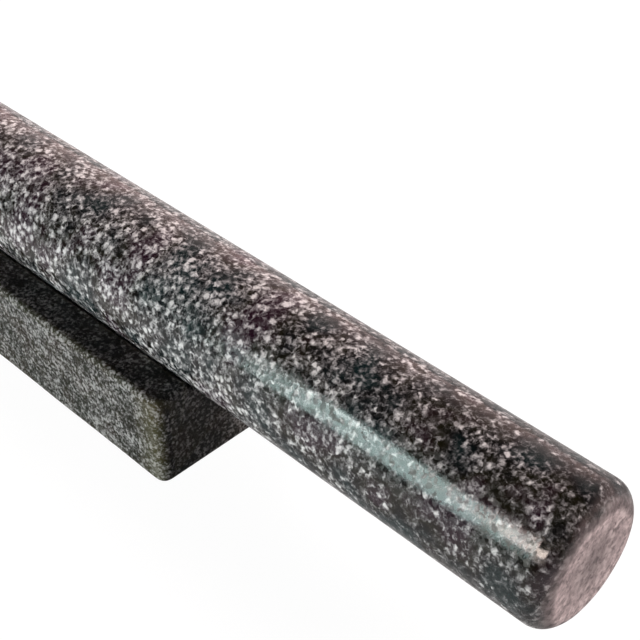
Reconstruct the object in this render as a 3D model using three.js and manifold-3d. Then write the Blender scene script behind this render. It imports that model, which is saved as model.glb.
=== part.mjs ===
// Granite rolling pin lying in the trough of its granite stand.
// Millimetres, +Z up. The origin is on the worktop, under the middle of the pin.
import * as THREE from "three";
import { mergeVertices } from "three/addons/utils/BufferGeometryUtils.js";
import Module from "manifold-3d";

const wasm = await Module();
wasm.setup();

// Rolling pin, one solid rod with rounded ends and no handles
const PIN_DIAMETER = 50;
const PIN_LENGTH = 460;
const PIN_END_ROUNDING = 7.2;

// Stand, one block of the same stone
const STAND_LENGTH = 150;
const STAND_WIDTH = 70;
const STAND_HEIGHT = 40;
const STAND_CORNER_ROUNDING = 4.5;
const STAND_ARRIS = 2;

// Trough along the top of the stand, a little wider than the pin
const TROUGH_DEPTH = 9.5;
const TROUGH_EASE = 2;
const TROUGH_LIP_ROUNDING = 1.5;
const SEAT_GAP = 0.3;

// Non-slip pads under the stand's corners
const PAD_DIAMETER = 12;
const PAD_THICKNESS = 2;
const PAD_EDGE = 0.4;
const PAD_INSET = 7;

// Facets
const PIN_SEGMENTS = 96;
const PAD_SEGMENTS = 32;
const RIM_SEGMENTS = 8;
const ARC_SEGMENTS = 6;
const TROUGH_SEGMENTS = 32;

// Positions that follow from the sizes above
const pinRadius = PIN_DIAMETER / 2;
const padRadius = PAD_DIAMETER / 2;
const standBottom = PAD_THICKNESS;
const standTop = standBottom + STAND_HEIGHT;
const troughRadius = pinRadius + TROUGH_EASE;
const troughBottom = standTop - TROUGH_DEPTH;
const troughAxis = troughBottom + troughRadius;
const pinAxis = troughBottom + SEAT_GAP + pinRadius;
const padX = STAND_LENGTH / 2 - PAD_INSET - padRadius;
const padY = STAND_WIDTH / 2 - PAD_INSET - padRadius;

// Axes of the three flat drawings: section across the stand, plan, and side
const ACROSS = new THREE.Matrix4().makeBasis(
  new THREE.Vector3(0, 1, 0),
  new THREE.Vector3(0, 0, 1),
  new THREE.Vector3(1, 0, 0),
);
const PLAN = new THREE.Matrix4();
const SIDE = new THREE.Matrix4().makeBasis(
  new THREE.Vector3(1, 0, 0),
  new THREE.Vector3(0, 0, 1),
  new THREE.Vector3(0, -1, 0),
);

/** Points of an arc in a drawing, both ends included. */
function arcPoints(centreX, centreY, radius, from, to, segments) {
  const points = [];
  for (let i = 0; i <= segments; i += 1) {
    const angle = from + ((to - from) * i) / segments;
    points.push(new THREE.Vector2(centreX + radius * Math.cos(angle), centreY + radius * Math.sin(angle)));
  }
  return points;
}

/** Outline of a rectangle with rounded corners, counter-clockwise. */
function roundedRectangle(x0, y0, x1, y1, rounding) {
  const quarter = Math.PI / 2;
  return [
    ...arcPoints(x1 - rounding, y0 + rounding, rounding, -quarter, 0, ARC_SEGMENTS),
    ...arcPoints(x1 - rounding, y1 - rounding, rounding, 0, quarter, ARC_SEGMENTS),
    ...arcPoints(x0 + rounding, y1 - rounding, rounding, quarter, 2 * quarter, ARC_SEGMENTS),
    ...arcPoints(x0 + rounding, y0 + rounding, rounding, 2 * quarter, 3 * quarter, ARC_SEGMENTS),
  ];
}

/** Section across the stand: a block with eased edges and the trough in its top. */
function standSection() {
  const half = STAND_WIDTH / 2;
  const quarter = Math.PI / 2;
  const lip = TROUGH_LIP_ROUNDING;
  const lipZ = standTop - lip;
  const lipY = Math.sqrt((troughRadius + lip) ** 2 - (lipZ - troughAxis) ** 2);
  const fall = Math.atan2(troughAxis - lipZ, lipY);
  const inner = half - STAND_ARRIS;
  const low = standBottom + STAND_ARRIS;
  const high = standTop - STAND_ARRIS;
  return [
    ...arcPoints(inner, low, STAND_ARRIS, -quarter, 0, ARC_SEGMENTS),
    ...arcPoints(inner, high, STAND_ARRIS, 0, quarter, ARC_SEGMENTS),
    ...arcPoints(lipY, lipZ, lip, quarter, Math.PI - fall, ARC_SEGMENTS),
    ...arcPoints(0, troughAxis, troughRadius, -fall, fall - Math.PI, TROUGH_SEGMENTS).slice(1, -1),
    ...arcPoints(-lipY, lipZ, lip, fall, quarter, ARC_SEGMENTS),
    ...arcPoints(-inner, high, STAND_ARRIS, quarter, 2 * quarter, ARC_SEGMENTS),
    ...arcPoints(-inner, low, STAND_ARRIS, 2 * quarter, 3 * quarter, ARC_SEGMENTS),
  ];
}

/** A drawing drawn out by a depth, centred on its plane and turned to its axes. */
function drawnOut(points, depth, axes, middle = 0) {
  const shape = new THREE.Shape(points);
  const geometry = new THREE.ExtrudeGeometry(shape, { depth, bevelEnabled: false });
  return geometry.translate(0, 0, middle - depth / 2).applyMatrix4(axes);
}

/** Solid of a geometry, for cutting. */
function solidOf(geometry) {
  geometry.deleteAttribute("normal");
  geometry.deleteAttribute("uv");
  const merged = mergeVertices(geometry, 1e-4);
  return new wasm.Manifold(
    new wasm.Mesh({
      numProp: 3,
      vertProperties: new Float32Array(merged.attributes.position.array),
      triVerts: new Uint32Array(merged.index.array),
    }),
  );
}

/** Geometry of a solid, for drawing. */
function geometryOf(solid) {
  const mesh = solid.getMesh();
  const geometry = new THREE.BufferGeometry();
  geometry.setAttribute("position", new THREE.BufferAttribute(mesh.vertProperties, 3));
  geometry.setIndex(new THREE.BufferAttribute(mesh.triVerts, 1));
  geometry.computeVertexNormals();
  return geometry;
}

/** Rolling pin: a turned rod with both rims rounded, lying along X in the trough. */
function pinGeometry() {
  const half = PIN_LENGTH / 2;
  const quarter = Math.PI / 2;
  const rimRadius = pinRadius - PIN_END_ROUNDING;
  const rimStart = half - PIN_END_ROUNDING;
  const profile = [
    new THREE.Vector2(0, -half),
    ...arcPoints(rimRadius, -rimStart, PIN_END_ROUNDING, -quarter, 0, RIM_SEGMENTS),
    ...arcPoints(rimRadius, rimStart, PIN_END_ROUNDING, 0, quarter, RIM_SEGMENTS),
    new THREE.Vector2(0, half),
  ];
  const rod = new THREE.LatheGeometry(profile, PIN_SEGMENTS);
  return rod.rotateZ(-Math.PI / 2).translate(0, 0, pinAxis);
}

/** Stand: the section, the plan and the side view drawn out, and what all three share. */
function standGeometry() {
  const halfLength = STAND_LENGTH / 2;
  const halfWidth = STAND_WIDTH / 2;
  const reach = 2 * STAND_LENGTH;
  const plan = roundedRectangle(-halfLength, -halfWidth, halfLength, halfWidth, STAND_CORNER_ROUNDING);
  const side = roundedRectangle(-halfLength, standBottom, halfLength, standTop, STAND_ARRIS);
  const section = solidOf(drawnOut(standSection(), reach, ACROSS));
  const upright = solidOf(drawnOut(plan, reach, PLAN));
  const through = solidOf(drawnOut(side, reach, SIDE));
  return geometryOf(section.intersect(upright).intersect(through));
}

/** Pad: a thin disc with its lower rim eased, its flat top on the stand's underside. */
function padGeometry(x, y) {
  const profile = [
    new THREE.Vector2(0, 0),
    new THREE.Vector2(padRadius - PAD_EDGE, 0),
    new THREE.Vector2(padRadius, PAD_EDGE),
    new THREE.Vector2(padRadius, PAD_THICKNESS),
    new THREE.Vector2(0, PAD_THICKNESS),
  ];
  const disc = new THREE.LatheGeometry(profile, PAD_SEGMENTS);
  return disc.rotateX(Math.PI / 2).translate(x, y, 0);
}

const granite = new THREE.MeshStandardMaterial({ name: "granite", color: 0x3c3a39, roughness: 0.25 });
const rubber = new THREE.MeshStandardMaterial({ name: "rubber", color: 0x222222, roughness: 0.85 });

/** One named piece. */
function piece(name, geometry, material) {
  const mesh = new THREE.Mesh(geometry, material);
  mesh.name = name;
  return mesh;
}

const assembly = new THREE.Group();
assembly.name = "granite_rolling_pin";
assembly.add(
  piece("rolling_pin", pinGeometry(), granite),
  piece("stand", standGeometry(), granite),
  piece("pad_front_left", padGeometry(-padX, -padY), rubber),
  piece("pad_front_right", padGeometry(padX, -padY), rubber),
  piece("pad_rear_left", padGeometry(-padX, padY), rubber),
  piece("pad_rear_right", padGeometry(padX, padY), rubber),
);

export default assembly;
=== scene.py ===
"""Looks of a granite rolling pin that lies in the trough of its granite stand.

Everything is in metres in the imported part's frame: +X along the pin, +Y to the back, +Z up.
"""

from __future__ import annotations

import logging
import math
from collections.abc import Sequence
from dataclasses import dataclass, field
from enum import Enum
from typing import Any

import bpy
from mathutils import Matrix, Vector, noise

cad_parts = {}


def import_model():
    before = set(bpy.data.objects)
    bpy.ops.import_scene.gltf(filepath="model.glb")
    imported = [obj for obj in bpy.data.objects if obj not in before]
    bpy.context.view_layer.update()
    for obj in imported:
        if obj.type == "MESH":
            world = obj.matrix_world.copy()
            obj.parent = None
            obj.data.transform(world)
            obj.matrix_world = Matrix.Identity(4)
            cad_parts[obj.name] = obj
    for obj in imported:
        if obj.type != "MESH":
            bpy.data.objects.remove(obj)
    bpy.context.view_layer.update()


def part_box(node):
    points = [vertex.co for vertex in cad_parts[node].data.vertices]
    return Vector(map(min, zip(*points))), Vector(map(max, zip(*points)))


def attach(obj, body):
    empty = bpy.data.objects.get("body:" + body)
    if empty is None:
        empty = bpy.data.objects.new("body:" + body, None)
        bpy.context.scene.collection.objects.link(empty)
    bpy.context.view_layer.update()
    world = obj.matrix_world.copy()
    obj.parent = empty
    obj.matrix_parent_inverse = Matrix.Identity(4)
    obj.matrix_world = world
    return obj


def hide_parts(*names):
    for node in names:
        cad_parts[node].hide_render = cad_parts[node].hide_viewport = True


LOG = logging.getLogger("rolling_pin")

MM = 0.001
METRES_TO_MM = 1000.0
QUARTER = math.pi / 2

Point2 = tuple[float, float]
Point3 = tuple[float, float, float]
# A point of a section as y, z and the marks of wear and of the saw
Marked = tuple[float, float, float, float]
Stop = tuple[float, str]
Tree = bpy.types.NodeTree
Socket = bpy.types.NodeSocket

# Minerals by paleness, from the black ground up to pure feldspar
MINERALS: tuple[Stop, ...] = (
    (0.2, "#030303"),
    (0.285, "#100F0F"),
    (0.33, "#222121"),
    (0.37, "#383737"),
    (0.412, "#535152"),
    (0.458, "#737172"),
    (0.513, "#9B9999"),
    (0.59, "#CBC9C9"),
    (0.72, "#F8F6F5"),
)
# Film that honing leaves, from thin to thick
FILM: tuple[Stop, ...] = ((0.3, "#8B7E7F"), (0.44, "#D8C7C7"), (0.57, "#FEEFEE"))
# Skin of the rubber, from its hollows to its bumps
SKIN: tuple[Stop, ...] = ((0.3, "#141414"), (0.7, "#262525"))
# Where the colours of the stains lie in their clouds
STAIN_PLACES = (0.36, 0.46, 0.53, 0.64)


def linear(hex_colour: str) -> tuple[float, float, float, float]:
    """Turns an sRGB hex colour into a linear colour with full alpha.

    Args:
        hex_colour: Colour as "#RRGGBB".

    Returns:
        Linear red, green, blue and alpha.
    """
    channels = [int(hex_colour[i : i + 2], 16) / 255 for i in (1, 3, 5)]
    curved = [c / 12.92 if c <= 0.04045 else ((c + 0.055) / 1.055) ** 2.4 for c in channels]
    return (curved[0], curved[1], curved[2], 1.0)


def add_node(
    tree: Tree,
    kind: str,
    inputs: dict[Any, Any] | None = None,
    stops: Sequence[Stop] = (),
    **settings: Any,
) -> bpy.types.Node:
    """Adds a node with its settings, and fills its inputs with values or links.

    Args:
        tree: Tree that the node goes into.
        kind: Blender's type name of the node, after the ShaderNode that all of them begin with.
        inputs: Input name or number, to a value or to the socket that feeds it.
        stops: Places and sRGB hex colours of a colour ramp.
        settings: Properties of the node.

    Returns:
        The new node.
    """
    node = tree.nodes.new(f"ShaderNode{kind}")
    for name, value in settings.items():
        setattr(node, name, value)
    for key, value in (inputs or {}).items():
        if isinstance(value, Socket):
            tree.links.new(value, node.inputs[key])
        else:
            node.inputs[key].default_value = value
    if stops:
        elements = node.color_ramp.elements
        while len(elements) < len(stops):
            elements.new(1.0)
        for element, (place, colour) in zip(elements, stops):
            element.position = place
            element.color = linear(colour)
    return node


def new_tree(owner: bpy.types.Material | bpy.types.World) -> Tree:
    """Gives a material or the world an empty node tree.

    Args:
        owner: The material or world.

    Returns:
        Its tree.
    """
    owner.use_nodes = True
    owner.node_tree.nodes.clear()
    return owner.node_tree


class Mark(Enum):
    """How a place on the stone was worked, as the name of a mesh attribute from 0 to 1."""

    HONED = "honed"
    SAWN = "sawn"
    ARRIS = "arris"


@dataclass(frozen=True)
class Granite:
    """Dark speckled granite, cut from one block and then polished, sawn or honed.

    Pale feldspar crystals with soft, ragged edges lie close together in black hornblende and mica: a
    salt-and-pepper speckle that is deep and glossy where it is polished, dull where it is sawn, and
    paler, mauve and soft where it is honed.
    """

    name: str
    # Where in the block the piece was cut
    block_mm: Point3 = (-130.0, 0.0, 0.0)
    # Sizes of large and small crystals and of the mottling between them, and how far their edges bend
    crystal_mm: float = 2.5
    grain_mm: float = 1.55
    ground_mm: float = 1.95
    bend_mm: float = 0.9
    # How far a crystal is pale, as a share of its size, and how much neighbours melt together
    crystal_reach: float = 0.7
    crystal_blend: float = 0.3
    # What each of them adds to the paleness, and the thin seams that tie the crystals into a net
    crystals: float = 0.36
    grains: float = 0.2
    ground: float = 0.66
    ground_level: float = 0.345
    seams: float = 0.1
    seam_width: float = 0.09
    # Crystals that grew much larger: their spacing and reach, what they add, share of places without one
    fleck_mm: float = 8.0
    fleck_reach_mm: float = 1.3
    flecks: float = 0.15
    fleckless: float = 0.5
    # Patches that are richer or poorer in crystals
    patch_mm: float = 10.0
    patchiness: float = 1.8
    # How rich, fine and contrasting the stone is at the two ends of a stretch along it
    rich_mm: Point2 = (-65.0, 60.0)
    rich: Point2 = (1.12, 0.64)
    fine_mm: Point2 = (-200.0, 100.0)
    fine: Point2 = (0.96, 1.0)
    contrast: Point2 = (1.06, 1.36)
    middle: float = 0.38
    # Clouds that chlorite, iron and mica stain
    stain_mm: float = 20.0
    stains: tuple[str, str, str, str] = ("#011F20", "#030303", "#181503", "#270B1D")
    # Brightness of polished and sawn faces, and how the one gives way to the other grain by grain; on the
    # stand the darker polished deck, ends and trough are painted shade and the paler sawn sides painted
    # light
    tone: float = 1.0
    sawn_lit_tone: float = 1.0
    sawn_fray: float = 1.2
    sawn_span: Point2 = (0.85, 1.35)
    # Bruised grains and dust that the saw leaves
    bruise: float = 0.0
    dust: float = 0.1
    # Worn edges: their paler olive colour is partly wear and partly painted highlight, their dullness is
    # wear
    dust_colour: str = "#7A734C"
    # Worn edges
    wear_and_highlight: float = 0.35
    wear_and_highlight_colour: str = "#969069"
    wear_dull: float = 0.12
    # How the polish gives out towards the honed end, over a dark ring on the rim that is a painted
    # reflection of dark surroundings
    fray: float = 0.4
    bare: Point2 = (0.46, 0.92)
    rim_reflection_dark: float = 0.75
    rim_reflection_from: float = 0.25
    # Share of the crystals in the honed film, size of its clouds, and its tone where it is thinnest
    film_crystals: float = 0.62
    film_cloud: float = 0.55
    thin: float = 0.73
    thin_tone: float = 0.39
    # Roughness of the polish, its share on sound grains, and which are pitted and how much that adds
    polish: float = 0.16
    sound: float = 0.75
    pitted: Point2 = (0.5, 0.92)
    pits: float = 0.3
    # Other gloss, and relief
    honed_roughness: float = 0.55
    ior: float = 1.6
    specular: float = 0.5
    relief: float = 0.8
    relief_mm: float = 0.06

    def material(self) -> bpy.types.Material:
        """Builds the stone's material.

        Returns:
            The material, which reads the marks on the mesh.
        """
        material = bpy.data.materials.new(self.name)
        tree = new_tree(material)
        coords = add_node(tree, "TexCoord")
        place = add_node(
            tree,
            "Mapping",
            {
                "Vector": coords.outputs["Object"],
                "Location": self.block_mm,
                "Scale": (METRES_TO_MM,) * 3,
            },
        ).outputs[0]
        pale, pitted = self._grains(tree, place)
        worked, sawn, arris = (
            add_node(tree, "Attribute", attribute_name=mark.value).outputs["Fac"]
            for mark in (Mark.HONED, Mark.SAWN, Mark.ARRIS)
        )
        bare = self._bare(tree, place, worked)
        # Painted reflection: the polish is darkened into a ring on the rim where honing begins
        rim_reflection_darkened = add_node(
            tree,
            "MapRange",
            {"Value": worked, "From Max": self.rim_reflection_from, "To Min": 1.0, "To Max": self.rim_reflection_dark},
            interpolation_type="SMOOTHSTEP",
        ).outputs[0]
        ringed = add_node(
            tree,
            "VectorMath",
            {0: self._polished(tree, place, pale, sawn), "Scale": rim_reflection_darkened},
            operation="SCALE",
        ).outputs[0]
        faced = add_node(
            tree,
            "Mix",
            {"Factor": bare, "A": ringed, "B": self._honed(tree, place, pale, worked)},
            data_type="RGBA",
        ).outputs["Result"]
        # Edges, and the sides near the stand's ends, turn a paler olive: partly wear, partly painted
        # highlight
        worn = add_node(tree, "Math", {0: arris, 1: self.wear_and_highlight}, operation="MULTIPLY").outputs[0]
        edged = add_node(
            tree, "Mix", {"Factor": worn, "A": faced, "B": linear(self.wear_and_highlight_colour)}, data_type="RGBA"
        ).outputs["Result"]
        matt = add_node(tree, "Math", {0: bare, 1: sawn}, operation="MAXIMUM").outputs[0]
        roughness = add_node(
            tree,
            "Mix",
            {"Factor": matt, "A": self._dulled(tree, pitted, arris), "B": self.honed_roughness},
            data_type="FLOAT",
        ).outputs["Result"]
        bump = add_node(
            tree, "Bump", {"Strength": self.relief, "Distance": self.relief_mm * MM, "Height": pale}
        ).outputs[0]
        shader = add_node(
            tree,
            "BsdfPrincipled",
            {
                "Base Color": edged,
                "Roughness": roughness,
                "IOR": self.ior,
                "Specular IOR Level": self.specular,
                "Normal": bump,
            },
        )
        add_node(tree, "OutputMaterial", {"Surface": shader.outputs[0]})
        return material

    @staticmethod
    def _graded(tree: Tree, place: Socket, stretch_mm: Point2, ends: Point2) -> Socket:
        """A value that changes evenly along a stretch of the block.

        Args:
            tree: The material's tree.
            place: Place in the block in millimetres.
            stretch_mm: The two ends of the stretch.
            ends: The values there.

        Returns:
            The socket with the value.
        """
        along = add_node(tree, "SeparateXYZ", {0: place}).outputs["X"]
        return add_node(
            tree,
            "MapRange",
            {
                "Value": along,
                "From Min": stretch_mm[0],
                "From Max": stretch_mm[1],
                "To Min": ends[0],
                "To Max": ends[1],
            },
        ).outputs[0]

    def _bent(self, tree: Tree, place: Socket) -> Socket:
        """Shrinks the pattern towards one end, where the stone cooled faster, and bends its edges.

        Args:
            tree: The material's tree.
            place: Place in the block in millimetres.

        Returns:
            The socket with the place in the pattern.
        """
        refined = add_node(
            tree,
            "VectorMath",
            {0: place, "Scale": self._graded(tree, place, self.fine_mm, self.fine)},
            operation="SCALE",
        ).outputs[0]
        bend = add_node(
            tree, "TexNoise", {"Vector": refined, "Scale": 1 / self.grain_mm, "Detail": 1.0}
        ).outputs["Color"]
        centred = add_node(
            tree, "VectorMath", {0: bend, 1: (0.5, 0.5, 0.5)}, operation="SUBTRACT"
        ).outputs[0]
        return add_node(
            tree,
            "VectorMath",
            {0: centred, 1: (2 * self.bend_mm,) * 3, 2: refined},
            operation="MULTIPLY_ADD",
        ).outputs[0]

    def _rich(self, tree: Tree, place: Socket) -> Socket:
        """How rich in crystals the stone is, patch by patch and along the block.

        Args:
            tree: The material's tree.
            place: Place in the block in millimetres.

        Returns:
            The socket with the factor, about 1.
        """
        patch = add_node(
            tree, "TexNoise", {"Vector": place, "Scale": 1 / self.patch_mm, "Detail": 2.0}
        ).outputs["Fac"]
        low, high = (share - self.patchiness / 2 for share in self.rich)
        return add_node(
            tree,
            "Math",
            {0: patch, 1: self.patchiness, 2: self._graded(tree, place, self.rich_mm, (low, high))},
            operation="MULTIPLY_ADD",
        ).outputs[0]

    def _flecked(self, tree: Tree, bent: Socket) -> Socket:
        """Now and then a feldspar crystal that grew much larger than the rest.

        Args:
            tree: The material's tree.
            bent: Place in the pattern.

        Returns:
            The socket with 1 in such a crystal and 0 elsewhere.
        """
        cells = add_node(tree, "TexVoronoi", {"Vector": bent, "Scale": 1 / self.fleck_mm})
        chances = add_node(tree, "SeparateColor", {0: cells.outputs["Color"]}).outputs
        rare = add_node(
            tree, "Math", {0: chances[0], 1: self.fleckless}, operation="GREATER_THAN"
        ).outputs[0]
        reach = self.fleck_reach_mm / self.fleck_mm
        large = add_node(
            tree,
            "MapRange",
            {"Value": cells.outputs["Distance"], "From Min": reach, "From Max": 0.4 * reach},
            interpolation_type="SMOOTHSTEP",
        ).outputs[0]
        return add_node(tree, "Math", {0: rare, 1: large}, operation="MULTIPLY").outputs[0]

    def _grains(self, tree: Tree, place: Socket) -> tuple[Socket, Socket]:
        """Gathers small grains into ragged pale crystals and dark ground.

        Args:
            tree: The material's tree.
            place: Place in the block in millimetres.

        Returns:
            Two sockets: the paleness, about 0.4 on average, low in the dark ground and high in feldspar,
            and the pits, from 0 on sound grains to 1 on those that take no polish.
        """
        bent = self._bent(tree, place)
        rich = self._rich(tree, place)
        ground = add_node(
            tree,
            "TexNoise",
            {"Vector": bent, "Scale": 1 / self.ground_mm, "Detail": 4.0, "Roughness": 0.68},
        ).outputs["Fac"]
        pale = add_node(
            tree,
            "Math",
            {0: ground, 1: self.ground, 2: self.ground_level - self.ground / 2 - 0.35 * self.seams},
            operation="MULTIPLY_ADD",
        ).outputs[0]
        seam = add_node(
            tree, "TexNoise", {"Vector": bent, "Scale": 1 / self.crystal_mm, "Detail": 2.0}
        ).outputs["Fac"]
        off = add_node(tree, "Math", {0: seam, 1: 0.5}, operation="SUBTRACT").outputs[0]
        apart = add_node(tree, "Math", {0: off}, operation="ABSOLUTE").outputs[0]
        net = add_node(
            tree,
            "MapRange",
            {"Value": apart, "From Min": self.seam_width, "From Max": 0.0, "To Max": self.seams},
        ).outputs[0]
        added = [(net, rich)]
        # Crystals of two sizes, each palest in its middle, so that they keep soft edges
        for size, weight in ((self.crystal_mm, self.crystals), (self.grain_mm, self.grains)):
            cells = add_node(
                tree,
                "TexVoronoi",
                {"Vector": bent, "Scale": 1 / size, "Smoothness": self.crystal_blend},
                feature="SMOOTH_F1",
            )
            chances = add_node(tree, "SeparateColor", {0: cells.outputs["Color"]}).outputs
            swell = add_node(
                tree,
                "MapRange",
                {
                    "Value": cells.outputs["Distance"],
                    "From Min": self.crystal_reach,
                    "From Max": 0.0,
                    "To Max": weight,
                },
            ).outputs[0]
            lit = add_node(tree, "Math", {0: chances[0], 1: swell}, operation="MULTIPLY").outputs[0]
            added.append((lit, rich))
        added.append((self._flecked(tree, bent), self.flecks))
        for value, weight in added:
            pale = add_node(
                tree, "Math", {0: value, 1: weight, 2: pale}, operation="MULTIPLY_ADD"
            ).outputs[0]
        # The smaller grains are purer, so that they differ more
        purer = self._graded(tree, place, self.fine_mm, self.contrast)
        differing = add_node(tree, "Math", {0: pale, 1: self.middle}, operation="SUBTRACT").outputs[0]
        pale = add_node(
            tree, "Math", {0: differing, 1: purer, 2: self.middle}, operation="MULTIPLY_ADD"
        ).outputs[0]
        pitted = add_node(
            tree,
            "MapRange",
            {"Value": chances[1], "From Min": self.pitted[0], "From Max": self.pitted[1]},
        ).outputs[0]
        return pale, pitted

    def _bare(self, tree: Tree, place: Socket, worked: Socket) -> Socket:
        """Where the polish is gone: it gives out grain by grain.

        Args:
            tree: The material's tree.
            place: Place in the block in millimetres.
            worked: Socket with the mark of honing.

        Returns:
            The socket with 0 where the stone is polished and 1 where it is honed.
        """
        broken = add_node(
            tree, "TexNoise", {"Vector": place, "Scale": 1 / self.crystal_mm, "Detail": 2.0}
        ).outputs["Fac"]
        shifted = add_node(
            tree, "Math", {0: broken, 1: self.fray, 2: worked}, operation="MULTIPLY_ADD"
        ).outputs[0]
        return add_node(
            tree,
            "MapRange",
            {"Value": shifted, "From Min": self.bare[0], "From Max": self.bare[1]},
            interpolation_type="SMOOTHSTEP",
        ).outputs[0]

    def _dulled(self, tree: Tree, pitted: Socket, arris: Socket) -> Socket:
        """Roughness of the polish, which is duller on pitted grains and worn edges.

        Args:
            tree: The material's tree.
            pitted: Socket with the pits.
            arris: Socket with the mark of a worn edge and of painted highlight.

        Returns:
            The socket with the roughness.
        """
        sound = self.sound * self.polish
        uneven = add_node(
            tree, "MapRange", {"Value": pitted, "To Min": sound, "To Max": sound + self.pits}
        ).outputs[0]
        return add_node(
            tree, "Math", {0: arris, 1: self.wear_dull, 2: uneven}, operation="MULTIPLY_ADD"
        ).outputs[0]

    def _polished(self, tree: Tree, place: Socket, pale: Socket, sawn: Socket) -> Socket:
        """Colours the polished stone, and the sawn one, whose grains are bruised and dusty.

        Args:
            tree: The material's tree.
            place: Place in the block in millimetres.
            pale: Socket with the paleness.
            sawn: Socket with the mark of the saw.

        Returns:
            The socket with the colour.
        """
        bruised = add_node(
            tree, "Math", {0: sawn, 1: self.bruise, 2: pale}, operation="MULTIPLY_ADD"
        ).outputs[0]
        minerals = add_node(tree, "ValToRGB", {"Fac": bruised}, MINERALS).outputs["Color"]
        dusty = add_node(tree, "Math", {0: sawn, 1: self.dust}, operation="MULTIPLY").outputs[0]
        dusted = add_node(
            tree,
            "Mix",
            {"Factor": dusty, "A": minerals, "B": linear(self.dust_colour)},
            data_type="RGBA",
        ).outputs["Result"]
        # On the stand the polished deck, ends and trough keep the darker tone as painted shade, and the
        # sawn sides the paler one as painted light
        frayed = add_node(
            tree, "Math", {0: bruised, 1: self.sawn_fray, 2: sawn}, operation="MULTIPLY_ADD"
        ).outputs[0]
        tone = add_node(
            tree,
            "MapRange",
            {
                "Value": frayed,
                "From Min": self.sawn_span[0],
                "From Max": self.sawn_span[1],
                "To Min": self.tone,
                "To Max": self.sawn_lit_tone,
            },
            interpolation_type="SMOOTHSTEP",
        ).outputs[0]
        toned = add_node(tree, "VectorMath", {0: dusted, "Scale": tone}, operation="SCALE").outputs[0]
        # Stains tint the dark minerals in wide clouds and leave the feldspar white
        cloud = add_node(
            tree, "TexNoise", {"Vector": place, "Scale": 1 / self.stain_mm, "Detail": 2.0}
        ).outputs["Fac"]
        stops = list(zip(STAIN_PLACES, self.stains))
        stain = add_node(tree, "ValToRGB", {"Fac": cloud}, stops).outputs["Color"]
        return add_node(
            tree, "Mix", {"Factor": 1.0, "A": toned, "B": stain}, data_type="RGBA", blend_type="ADD"
        ).outputs["Result"]

    def _honed(self, tree: Tree, place: Socket, pale: Socket, worked: Socket) -> Socket:
        """Colours the honed stone: a pale mauve film of fine scratches, with the crystals faint in it.

        Args:
            tree: The material's tree.
            place: Place in the block in millimetres.
            pale: Socket with the paleness.
            worked: Socket with the mark of honing, a little lower where the film was rubbed thinner.

        Returns:
            The socket with the colour.
        """
        cloud = add_node(
            tree,
            "TexNoise",
            {
                "Vector": place,
                "Scale": self.film_cloud / self.crystal_mm,
                "Detail": 2.0,
                "Roughness": 0.6,
            },
        ).outputs["Fac"]
        mixed = add_node(
            tree, "Mix", {"Factor": self.film_crystals, "A": cloud, "B": pale}
        ).outputs["Result"]
        film = add_node(tree, "ValToRGB", {"Fac": mixed}, FILM).outputs["Color"]
        rubbed = add_node(
            tree,
            "MapRange",
            {"Value": worked, "From Min": self.thin, "To Min": self.thin_tone, "To Max": 1.0},
        ).outputs[0]
        return add_node(tree, "VectorMath", {0: film, "Scale": rubbed}, operation="SCALE").outputs[0]


@dataclass(frozen=True)
class Rubber:
    """Black moulded rubber of the pads: matt, with a fine grainy skin."""

    name: str = "rubber_moulded_black"
    skin_mm: float = 0.35
    roughness: float = 0.75
    ior: float = 1.5
    relief: float = 0.5
    relief_mm: float = 0.05

    def material(self) -> bpy.types.Material:
        """Builds the pads' material.

        Returns:
            The material.
        """
        material = bpy.data.materials.new(self.name)
        tree = new_tree(material)
        coords = add_node(tree, "TexCoord")
        place = add_node(
            tree, "Mapping", {"Vector": coords.outputs["Object"], "Scale": (METRES_TO_MM,) * 3}
        ).outputs[0]
        skin = add_node(
            tree, "TexNoise", {"Vector": place, "Scale": 1 / self.skin_mm, "Detail": 3.0}
        ).outputs["Fac"]
        colour = add_node(tree, "ValToRGB", {"Fac": skin}, SKIN).outputs["Color"]
        bump = add_node(
            tree, "Bump", {"Strength": self.relief, "Distance": self.relief_mm * MM, "Height": skin}
        ).outputs[0]
        shader = add_node(
            tree,
            "BsdfPrincipled",
            {"Base Color": colour, "Roughness": self.roughness, "IOR": self.ior, "Normal": bump},
        )
        add_node(tree, "OutputMaterial", {"Surface": shader.outputs[0]})
        return material


# Stone of the pin: coarse, deep and glossy
POLISHED = Granite("granite_polished")
# Stone of the stand: finer, darker and dull, with painted shade on its deck and ends and painted light on
# its sawn sides
SAWN = Granite(
    "granite_sawn",
    block_mm=(310.0, -90.0, 55.0),
    crystal_mm=1.5,
    grain_mm=0.9,
    ground_mm=1.15,
    crystals=0.46,
    rich=(0.8, 0.8),
    fine=(1.0, 1.0),
    contrast=(1.8, 1.8),
    stain_mm=11.0,
    stains=("#030B06", "#010101", "#100E01", "#140604"),
    # Deck, ends and trough darker as painted shade, sawn sides paler as painted light
    tone=0.36,
    sawn_lit_tone=0.53,
    bruise=0.03,
    polish=0.5,
    specular=0.1,
)


class Seed(Enum):
    """Keeps one kind of unevenness apart from another."""

    BARREL = 3.1
    RIM = 7.7
    HONING = 4.2
    EASE = 1.3


def wander(place: Point3, wave: float, seed: Seed) -> float:
    """Smooth unevenness of a surface that was finished by hand.

    Args:
        place: Place on the surface.
        wave: Length of a wave, in the same unit.
        seed: Kind of unevenness.

    Returns:
        A value from about -1 to 1.
    """
    shift = seed.value
    return noise.noise(Vector(place) / wave + Vector((shift, -shift, 2.0 * shift)))


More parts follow.
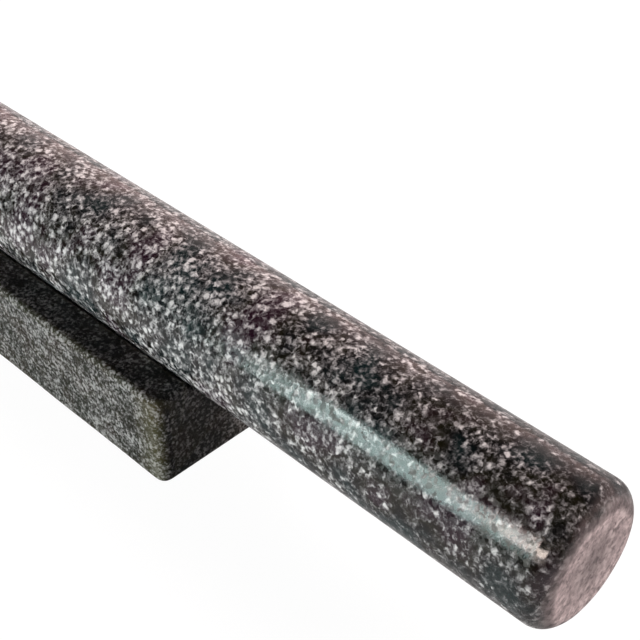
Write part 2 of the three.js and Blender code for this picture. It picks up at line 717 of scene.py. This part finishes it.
def arc(centre: Point2, radius: float, start: float, end: float, steps: int) -> list[Point2]:
    """Points of an arc, both ends included.

    Args:
        centre: Centre of the arc.
        radius: Its radius.
        start: First angle in radians.
        end: Last angle in radians.
        steps: Number of steps.

    Returns:
        The points in order.
    """
    angles = [start + (end - start) * i / steps for i in range(steps + 1)]
    return [(centre[0] + radius * math.cos(a), centre[1] + radius * math.sin(a)) for a in angles]


def spaced(start: float, end: float, count: int, support: float) -> list[float]:
    """Places between two ends, with one close to each end that keeps flat faces flat.

    Args:
        start: First end, left out of the result.
        end: Last end, left out of the result.
        count: Number of even steps between the close places.
        support: Distance of the close places from the ends.

    Returns:
        The places in order.
    """
    low = start + math.copysign(support, end - start)
    high = end - math.copysign(support, end - start)
    return [low + (high - low) * i / count for i in range(count + 1)]


class RingMesh:
    """A closed skin laid ring by ring, with a value of each mark at each point."""

    def __init__(self) -> None:
        """Starts with no rings."""
        self.points: list[Point3] = []
        self.marks: dict[Mark, list[float]] = {mark: [] for mark in Mark}
        self.faces: list[tuple[int, ...]] = []
        self.rings: list[list[int]] = []

    def ring(self, points: list[Point3], marks: dict[Mark, list[float]]) -> None:
        """Adds a ring and skins it to the one before.

        Args:
            points: The ring's points, in the same turn as the other rings.
            marks: Values at the points, for each mark that isn't 0 all round the ring.
        """
        first = len(self.points)
        self.points += points
        for mark, values in self.marks.items():
            values += marks.get(mark, [0.0] * len(points))
        ring = list(range(first, first + len(points)))
        if self.rings:
            last = self.rings[-1]
            for i in range(len(ring)):
                j = (i + 1) % len(ring)
                self.faces.append((last[i], last[j], ring[j], ring[i]))
        self.rings.append(ring)

    def close(self) -> None:
        """Closes the first and the last ring with one face each."""
        self.faces.append(tuple(reversed(self.rings[0])))
        self.faces.append(tuple(self.rings[-1]))

    def object(self, name: str) -> bpy.types.Object:
        """Makes the Blender object.

        Args:
            name: The object's name.

        Returns:
            The object, smooth shaded and linked to the scene.
        """
        mesh = bpy.data.meshes.new(name)
        mesh.from_pydata(self.points, [], self.faces)
        mesh.validate()
        for mark, values in self.marks.items():
            attribute = mesh.attributes.new(mark.value, "FLOAT", "POINT")
            attribute.data.foreach_set("value", values)
        mesh.shade_smooth()
        piece = bpy.data.objects.new(name, mesh)
        bpy.context.scene.collection.objects.link(piece)
        return piece


@dataclass
class RollingPin:
    """The rolling pin: one polished granite rod whose rims were rounded and whose ends were honed."""

    low: Vector
    high: Vector
    rim: float = 7.2 * MM
    sides: int = 192
    barrel_steps: int = 90
    rim_steps: int = 14
    # Rings of the flat end, as shares of its radius, and the barrel's rings that keep it straight
    face_shares: tuple[float, ...] = (0.97, 0.9, 0.75, 0.55, 0.35, 0.15, 0.03)
    support: float = 0.6 * MM
    # Unevenness that grinding leaves on the barrel and on the rim, and how long its waves are
    waver: float = 0.03 * MM
    wave: float = 34 * MM
    rim_waver: float = 0.05
    rim_wave: float = 15 * MM
    # Stretch of the rim's turn where honing takes over, the angle where it reaches least, and its waves
    worked_from: float = 0.1
    worked_to: float = 1.05
    worked_skew: float = 0.17
    worked_lean: float = 108.0
    worked_waver: float = 0.16
    worked_wave: float = 0.5
    # How thin the film is rubbed in the middle, the flat end's share of the radius, how fast it sets in
    rubbed: float = 0.27
    rubbed_share: float = 0.71
    spread: float = 2.5
    piece: bpy.types.Object = field(init=False)

    def build(self) -> None:
        """Builds the rod's skin from ring to ring, from the left end to the right one."""
        half = (self.high.x - self.low.x) / 2
        radius = (self.high.z - self.low.z) / 2
        centre = (self.low + self.high) / 2
        skin = RingMesh()
        for along, out, turned in self._profile(half, radius):
            points = []
            worked = []
            for i in range(self.sides):
                angle = 2 * math.pi * i / self.sides
                points.append(self._point(centre, half, radius, along, out, angle))
                worked.append(self._worked(out / radius, turned, angle))
            skin.ring(points, {Mark.HONED: worked})
        skin.close()
        self.piece = skin.object("rolling_pin_stone")

    def dress(self, stone: bpy.types.Material) -> None:
        """Gives the rod its stone and its place on the moving body.

        Args:
            stone: Material of the rod.
        """
        self.piece.data.materials.append(stone)
        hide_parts("rolling_pin")
        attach(self.piece, "pin")

    def _profile(self, half: float, radius: float) -> list[Point3]:
        """Half section of the rod.

        Args:
            half: Half of the rod's length.
            radius: The rod's radius.

        Returns:
            Place along the rod, distance from its axis and share of the rim's turn, from left to right.
        """
        right: list[Point3] = []
        corner = (half - self.rim, radius - self.rim)
        for step, (along, out) in enumerate(arc(corner, self.rim, QUARTER, 0.0, self.rim_steps)):
            right.append((along, out, step / self.rim_steps))
        for share in self.face_shares:
            right.append((half, corner[1] * share, 1.0))
        left = [(-along, out, turned) for along, out, turned in reversed(right)]
        barrel = spaced(-corner[0], corner[0], self.barrel_steps, self.support)
        return left + [(along, radius, 0.0) for along in barrel] + right

    def _worked(self, out: float, turned: float, angle: float) -> float:
        """How far a point was honed: less far down the rim on top than elsewhere, and thinner inside.

        Args:
            out: Distance from the axis as a share of the rod's radius.
            turned: Share of the rim's turn, 0 on the barrel and 1 on the end.
            angle: Angle round the axis.

        Returns:
            Value of the mark of honing.
        """
        if turned <= 0.0:
            return 0.0
        around = (math.cos(angle), math.sin(angle), 0.0)
        spared = math.cos(angle - math.radians(self.worked_lean))
        waver = self.worked_waver * wander(around, self.worked_wave, Seed.HONING)
        shift = waver - self.worked_skew * spared
        begun = turned + shift * min(1.0, 4 * turned * (1.2 - turned)) - self.worked_from
        reached = begun / (self.worked_to - self.worked_from)
        if turned < 1.0:
            return min(1.0, max(0.0, reached))
        inner = 1.0 - self.rubbed * max(0.0, 1 - out / self.rubbed_share)
        return min(inner, reached + self.spread * (self.rubbed_share - out))

    def _point(
        self,
        centre: Vector,
        half: float,
        radius: float,
        along: float,
        out: float,
        angle: float,
    ) -> Point3:
        """One point of the skin, with the small unevenness that grinding leaves.

        Args:
            centre: Middle of the rod.
            half: Half of the rod's length.
            radius: The rod's radius.
            along: Place along the rod.
            out: Distance from the rod's axis.
            angle: Angle round the axis.

        Returns:
            The point in the part's frame.
        """
        y, z = math.cos(angle), math.sin(angle)
        place = (along, radius * y, radius * z)
        uneven = wander(place, self.wave, Seed.BARREL) * self.waver
        edge = max(0.0, (abs(along) - (half - self.rim)) / self.rim) * max(0.0, out / radius)
        drawn = edge * self.rim * self.rim_waver * wander(place, self.rim_wave, Seed.RIM)
        reach = out * (1 + uneven / radius) - abs(drawn)
        return (centre.x + along, centre.y + reach * y, centre.z + reach * z)


@dataclass
class Stand:
    """The stand: one granite block with sawn sides, eased edges and a trough along its top."""

    low: Vector
    high: Vector
    pin_radius: float
    trough_depth: float = 9.5 * MM
    trough_ease: float = 2.0 * MM
    lip: float = 1.5 * MM
    # Roundings of the long edges and of the upright ones, and how unevenly the long ones were eased
    arris: float = 2.0 * MM
    corner: float = 4.5 * MM
    ease_waver: float = 0.18
    ease_wave: float = 22 * MM
    # Wear of the edges with painted highlight, and a painted highlight on the sides near the ends: how
    # far in it reaches and how strong it is
    edge_wear_and_highlight: float = 0.2
    worn: float = 14.0 * MM
    side_highlight: float = 0.8
    # Distances of the rings that keep the faces flat, and numbers of steps
    support: float = 0.5 * MM
    cap: float = 1.2 * MM
    long_steps: int = 30
    high_steps: int = 7
    deck_steps: int = 3
    wide_steps: int = 12
    trough_steps: int = 40
    arc_steps: int = 6
    corner_steps: int = 8
    piece: bpy.types.Object = field(init=False)

    def build(self) -> None:
        """Builds the block's skin from section to section, from the left end to the right one."""
        half = (self.high.x - self.low.x) / 2
        middle = (self.low.x + self.high.x) / 2
        skin = RingMesh()
        for along, side, top in self._stations(half):
            section = self._section(side, top, along)
            turned = min(1.0, side / self.corner)
            # Painted highlight on the sides next to the upright edges, carried by the arris mark with the
            # edge wear
            to_edge = min(1.0, (half - abs(along)) / self.worn)
            warm = self.side_highlight * (1 - to_edge) * (1 - turned)
            # The saw mark also paints the sides paler, as painted light, than the deck and ends in
            # painted shade
            skin.ring(
                [(middle + along, y, z) for y, z, _, _ in section],
                {
                    Mark.ARRIS: [max(edge, warm * sawn) for _, _, edge, sawn in section],
                    Mark.SAWN: [sawn * (1 - turned) for _, _, _, sawn in section],
                },
            )
        skin.close()
        self.piece = skin.object("stand_stone")

    def dress(self, stone: bpy.types.Material) -> None:
        """Gives the block its stone and its place on the standing body.

        Args:
            stone: Material of the block.
        """
        self.piece.data.materials.append(stone)
        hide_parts("stand")
        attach(self.piece, "stand")

    def _stations(self, half: float) -> list[Point3]:
        """Places of the sections along the block.

        Args:
            half: Half of the block's length.

        Returns:
            Place along the block, how far its sides draw in there, and how far its top and bottom do.
        """
        right: list[Point3] = []
        for i in range(self.corner_steps + 1):
            back = self.corner * (1 - math.sin(QUARTER * i / self.corner_steps))
            side, top = (self._drawn_in(back, rounding) for rounding in (self.corner, self.arris))
            right.append((half - back, side, top))
        right.append((half, self.corner + self.cap, self.arris + self.cap))
        inner = spaced(-(half - self.corner), half - self.corner, self.long_steps, self.support)
        left = [(-along, side, top) for along, side, top in reversed(right)]
        return left + [(along, 0.0, 0.0) for along in inner] + right

    @staticmethod
    def _drawn_in(back: float, rounding: float) -> float:
        """How far a rounded edge draws a face in.

        Args:
            back: Distance back from the end.
            rounding: Radius of the edge.

        Returns:
            The distance in.
        """
        if back >= rounding:
            return 0.0
        return rounding - math.sqrt(max(0.0, rounding**2 - (rounding - back) ** 2))

    @staticmethod
    def _run(points: list[Point2], worn: float, sawn: Point2 = (0.0, 0.0)) -> list[Marked]:
        """Gives one stretch of the section its marks.

        Args:
            points: Points of the stretch, in order.
            worn: Mark of a worn edge, which also carries painted highlight.
            sawn: Mark of the saw at the first point and at the last one.

        Returns:
            Points as y, z and the marks of a worn edge with painted highlight and of the saw.
        """
        last = len(points) - 1
        first, rise = sawn[0], sawn[1] - sawn[0]
        return [(y, z, worn, first + rise * i / last) for i, (y, z) in enumerate(points)]

    def _section(self, side: float, top: float, along: float) -> list[Marked]:
        """Section across the block, counter-clockwise seen from the right end.

        Args:
            side: How far the sides are drawn in.
            top: How far the top, the bottom and the trough are drawn in.
            along: Place along the block, for the hand-eased edges.

        Returns:
            Points as y, z and the marks of a worn edge with painted highlight and of the saw.
        """
        half = (self.high.y - self.low.y) / 2 - side
        floor = self.low.z + top
        deck = self.high.z - top
        radius = self.pin_radius + self.trough_ease + top
        axis = self.high.z - self.trough_depth + self.pin_radius + self.trough_ease
        ease = self.arris * (1 + self.ease_waver * wander((along, 0.0, 0.0), self.ease_wave, Seed.EASE))
        lip_z = deck - self.lip
        lip_y = math.sqrt((radius + self.lip) ** 2 - (lip_z - axis) ** 2)
        fall = math.atan2(axis - lip_z, lip_y)
        inner, low, high = half - ease, floor + ease, deck - ease
        wear_and_highlight, near, steps = self.edge_wear_and_highlight, self.support, self.arc_steps
        into, all_over, out_of = (0.0, 1.0), (1.0, 1.0), (1.0, 0.0)
        run = self._run
        return [
            *run(arc((inner, low), ease, -QUARTER, 0.0, steps), wear_and_highlight, into),
            *run([(half, z) for z in spaced(low, high, self.high_steps, near)], 0.0, all_over),
            *run(arc((inner, high), ease, 0.0, QUARTER, steps), wear_and_highlight, out_of),
            *run([(y, deck) for y in spaced(inner, lip_y, self.deck_steps, near)], 0.0),
            *run(arc((lip_y, lip_z), self.lip, QUARTER, math.pi - fall, steps), wear_and_highlight),
            *run(arc((0.0, axis), radius, -fall, fall - math.pi, self.trough_steps)[1:-1], 0.0),
            *run(arc((-lip_y, lip_z), self.lip, fall, QUARTER, steps), wear_and_highlight),
            *run([(y, deck) for y in spaced(-lip_y, -inner, self.deck_steps, near)], 0.0),
            *run(arc((-inner, high), ease, QUARTER, 2 * QUARTER, steps), wear_and_highlight, into),
            *run([(-half, z) for z in spaced(high, low, self.high_steps, near)], 0.0, all_over),
            *run(arc((-inner, low), ease, 2 * QUARTER, 3 * QUARTER, steps), wear_and_highlight, out_of),
            *run([(y, floor) for y in spaced(-inner, inner, self.wide_steps, near)], 0.0),
        ]


@dataclass
class Pad:
    """A non-slip pad: a thin moulded disc with a rounded lower rim and a shallow hollow in its foot."""

    node: str
    low: Vector
    high: Vector
    rim: float = 0.5 * MM
    rim_steps: int = 5
    hollow: float = 0.15 * MM
    bevel: float = 0.05 * MM
    sides: int = 64
    piece: bpy.types.Object = field(init=False)

    def build(self) -> None:
        """Builds the disc's skin from ring to ring, from its foot up to its flat top."""
        centre = (self.low + self.high) / 2
        radius = (self.high.x - self.low.x) / 2
        foot, top = self.low.z, self.high.z
        profile = [
            (0.15 * radius, foot + self.hollow),
            (0.55 * radius, foot + self.hollow),
            (0.6 * radius, foot + 0.8 * self.hollow),
            (0.66 * radius, foot + 0.2 * self.hollow),
            (0.7 * radius, foot),
            (0.85 * radius, foot),
            *arc((radius - self.rim, foot + self.rim), self.rim, -QUARTER, 0.0, self.rim_steps),
            (radius, foot + 0.75 * (top - foot)),
            (radius, top - self.bevel),
            (radius - self.bevel, top),
            (0.9 * radius, top),
            (0.4 * radius, top),
        ]
        skin = RingMesh()
        turns = [2 * math.pi * i / self.sides for i in range(self.sides)]
        for out, height in profile:
            points = [(centre.x + out * math.cos(a), centre.y + out * math.sin(a), height) for a in turns]
            skin.ring(points, {})
        skin.close()
        self.piece = skin.object(f"{self.node}_rubber")

    def dress(self, rubber: bpy.types.Material) -> None:
        """Gives the pad its rubber and its place on the standing body.

        Args:
            rubber: Material of the pad.
        """
        self.piece.data.materials.append(rubber)
        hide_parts(self.node)
        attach(self.piece, "stand")


class Use(Enum):
    """What a studio light is there for."""

    GLOSS = "seen in the polish"
    LIGHT = "lights the stone"


@dataclass(frozen=True)
class SoftBox:
    """A rectangular studio light with an even face."""

    name: str
    use: Use
    colour: str
    radiance: float
    size: Point2
    centre: Point3
    aim: Point3

    def build(self) -> None:
        """Hangs the light, out of the camera's sight."""
        lamp = bpy.data.lights.new(self.name, "AREA")
        lamp.shape = "RECTANGLE"
        width, height = self.size
        lamp.size, lamp.size_y = width, height
        lamp.energy = self.radiance * math.pi * width * height
        lamp.color = linear(self.colour)[:3]
        holder = bpy.data.objects.new(self.name, lamp)
        holder.location = self.centre
        towards = Vector(self.aim) - Vector(self.centre)
        holder.rotation_euler = towards.to_track_quat("-Z", "Y").to_euler()
        holder.visible_camera = False
        holder.visible_glossy = self.use is Use.GLOSS
        holder.visible_diffuse = self.use is Use.LIGHT
        bpy.context.scene.collection.objects.link(holder)


SOFTBOXES = (
    # The bright strip along the pin, its upper edge and its warm end
    SoftBox(
        "front_softbox", Use.GLOSS, "#E3FFFB", radiance=6.0, size=(0.26, 0.335),
        centre=(-0.1469, -0.5976, 0.306), aim=(0.1744, -0.0224, 0.073),
    ),
    SoftBox(
        "top_slat", Use.GLOSS, "#F8FFFE", radiance=13.0, size=(0.13, 0.028),
        centre=(-0.224, -0.517, 0.408), aim=(0.14, -0.018, 0.075),
    ),
    SoftBox(
        "side_pane", Use.GLOSS, "#FFE3DB", radiance=10.6, size=(0.06, 0.24),
        centre=(0.0115, -0.541, 0.385), aim=(0.2435, -0.0041, 0.1125),
    ),
    # The glint on the rim
    SoftBox(
        "rim_pane", Use.GLOSS, "#FFEDE2", radiance=14.0, size=(0.5, 0.09),
        centre=(0.29, -0.53, 0.34), aim=(0.2245, -0.019, 0.074),
    ),
    # Light on the stand's front and the pin's low side, from behind, and on the pin's end
    SoftBox(
        "low_strip", Use.LIGHT, "#F8FFFE", radiance=31.0, size=(0.40, 0.04),
        centre=(0.0, -0.45, 0.021), aim=(0.075, 0.0, 0.021),
    ),
    SoftBox(
        "back_key", Use.LIGHT, "#FFF0EE", radiance=11.2, size=(0.5, 0.5),
        centre=(-0.55, 0.45, 0.65), aim=(0.0, 0.0, 0.05),
    ),
    SoftBox(
        "end_fill", Use.LIGHT, "#FFF1EE", radiance=9.0, size=(0.4, 0.4),
        centre=(0.85, 0.30, 0.55), aim=(0.23, 0.0, 0.05),
    ),
)


@dataclass
class Studio:
    """White floor, soft lights, surroundings and the camera at the photograph's viewing angle."""

    # The camera that was fitted to the photograph's outlines
    eye: Point3 = (0.34970, -0.22887, 0.34742)
    azimuth: float = 45.05
    elevation: float = 38.96
    roll: float = -0.30
    lens: float = 73.63
    sensor: float = 36.0
    near: float = 0.01
    # The floor's paper: paler to the eye than in the light that it throws back, to keep undersides dark
    floor_half: float = 4.0
    floor_drop: float = 0.1 * MM
    paper_seen: str = "#F4F4F4"
    paper_lit: str = "#B8B8B8"
    # Its own white, and how much of that the eye and the polish see
    white: float = 1.08
    white_seen: float = 0.9
    white_mirrored: float = 0.22
    # The dim room, and the pale sweep behind the object in reflections, a little brighter to the left
    room: str = "#303032"
    sweep: str = "#FFDEDA"
    sweep_back: Point2 = (-0.1, 0.35)
    sweep_down: Point2 = (0.85, 0.1)
    sweep_left: Point2 = (-0.4, -0.75)
    sweep_strength: Point2 = (1.05, 1.15)
    softboxes: tuple[SoftBox, ...] = SOFTBOXES

    def build(self) -> None:
        """Builds the whole studio."""
        self._floor()
        self._world()
        for softbox in self.softboxes:
            softbox.build()
        self._camera()

    @staticmethod
    def _mirrored(tree: Tree, rays: bpy.types.Node) -> Socket:
        """Tells the rays that come off a polish or through a piece.

        Args:
            tree: Tree of the rays' node.
            rays: The node with the kinds of ray.

        Returns:
            The socket with 1 for such rays and 0 for others.
        """
        return add_node(
            tree,
            "Math",
            {0: rays.outputs["Is Glossy Ray"], 1: rays.outputs["Is Transmission Ray"]},
            operation="MAXIMUM",
        ).outputs[0]

    def _floor(self) -> None:
        """Lays the floor, which stays white to the eye but keeps a soft shadow."""
        half, level = self.floor_half, -self.floor_drop
        mesh = bpy.data.meshes.new("floor")
        corners = [(x * half, y * half, level) for x, y in ((-1, -1), (1, -1), (1, 1), (-1, 1))]
        mesh.from_pydata(corners, [], [(0, 1, 2, 3)])
        floor = bpy.data.objects.new("floor", mesh)
        bpy.context.scene.collection.objects.link(floor)
        material = bpy.data.materials.new("paper_white_floor")
        tree = new_tree(material)
        rays = add_node(tree, "LightPath")
        seen = rays.outputs["Is Camera Ray"]
        sheet = add_node(
            tree,
            "Mix",
            {"Factor": seen, "A": linear(self.paper_lit), "B": linear(self.paper_seen)},
            data_type="RGBA",
        ).outputs["Result"]
        paper = add_node(tree, "BsdfDiffuse", {"Color": sheet})
        white = add_node(tree, "Emission", {"Color": linear("#FFFFFF"), "Strength": self.white})
        dimmed = add_node(
            tree, "Math", {0: self._mirrored(tree, rays), 1: self.white_mirrored}, operation="MULTIPLY"
        ).outputs[0]
        share = add_node(
            tree, "Math", {0: seen, 1: self.white_seen, 2: dimmed}, operation="MULTIPLY_ADD"
        )
        surface = add_node(
            tree, "MixShader", {0: share.outputs[0], 1: paper.outputs[0], 2: white.outputs[0]}
        )
        add_node(tree, "OutputMaterial", {"Surface": surface.outputs[0]})
        floor.data.materials.append(material)

    def _world(self) -> None:
        """Surrounds the object: white to the eye, a pale sweep behind in reflections, dim elsewhere."""
        world = bpy.data.worlds.new("studio")
        bpy.context.scene.world = world
        tree = new_tree(world)
        rays = add_node(tree, "LightPath")
        coords = add_node(tree, "TexCoord")
        axes = add_node(tree, "SeparateXYZ", {0: coords.outputs["Generated"]})
        swept = self._mirrored(tree, rays)
        for axis, span in (("Y", self.sweep_back), ("Z", self.sweep_down)):
            part = add_node(
                tree,
                "MapRange",
                {"Value": axes.outputs[axis], "From Min": span[0], "From Max": span[1]},
                interpolation_type="SMOOTHSTEP",
            ).outputs[0]
            swept = add_node(tree, "Math", {0: swept, 1: part}, operation="MULTIPLY").outputs[0]
        strength = add_node(
            tree,
            "MapRange",
            {
                "Value": axes.outputs["X"],
                "From Min": self.sweep_left[0],
                "From Max": self.sweep_left[1],
                "To Min": self.sweep_strength[0],
                "To Max": self.sweep_strength[1],
            },
        ).outputs[0]
        room = add_node(tree, "Background", {"Color": linear(self.room), "Strength": 1.0})
        sweep = add_node(tree, "Background", {"Color": linear(self.sweep), "Strength": strength})
        white = add_node(tree, "Background", {"Color": linear("#FFFFFF"), "Strength": 1.0})
        around = add_node(tree, "MixShader", {0: swept, 1: room.outputs[0], 2: sweep.outputs[0]})
        seen = add_node(
            tree,
            "MixShader",
            {0: rays.outputs["Is Camera Ray"], 1: around.outputs[0], 2: white.outputs[0]},
        )
        add_node(tree, "OutputWorld", {"Surface": seen.outputs[0]})

    def _camera(self) -> None:
        """Sets up the camera."""
        turn, lift, tilt = (math.radians(a) for a in (self.azimuth, self.elevation, self.roll))
        back = Vector((math.sin(turn) * math.cos(lift), -math.cos(turn) * math.cos(lift), math.sin(lift)))
        across = Vector((math.cos(turn), math.sin(turn), 0.0))
        upward = back.cross(across)
        right = math.cos(tilt) * across + math.sin(tilt) * upward
        top = -math.sin(tilt) * across + math.cos(tilt) * upward
        camera = bpy.data.cameras.new("camera")
        camera.sensor_width = self.sensor
        camera.lens = self.lens
        camera.clip_start = self.near
        holder = bpy.data.objects.new("camera", camera)
        basis = Matrix((right, top, back)).transposed().to_4x4()
        holder.matrix_world = Matrix.Translation(Vector(self.eye)) @ basis
        bpy.context.scene.collection.objects.link(holder)
        bpy.context.scene.camera = holder


def main() -> None:
    """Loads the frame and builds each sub-assembly around it."""
    logging.basicConfig(level=logging.INFO, format="%(name)s: %(message)s")
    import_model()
    bpy.context.scene.view_settings.view_transform = "Standard"

    pin = RollingPin(*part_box("rolling_pin"))
    stand = Stand(*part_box("stand"), pin_radius=(pin.high.z - pin.low.z) / 2)
    corners = ("front_left", "front_right", "rear_left", "rear_right")
    pads = [Pad(f"pad_{corner}", *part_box(f"pad_{corner}")) for corner in corners]

    pin.build()
    pin.dress(POLISHED.material())
    stand.build()
    stand.dress(SAWN.material())
    rubber = Rubber().material()
    for pad in pads:
        pad.build()
        pad.dress(rubber)
    for part in (pin, stand, *pads):
        LOG.info("built %s", part.piece.name)
    Studio().build()


if __name__ == "__main__":
    main()
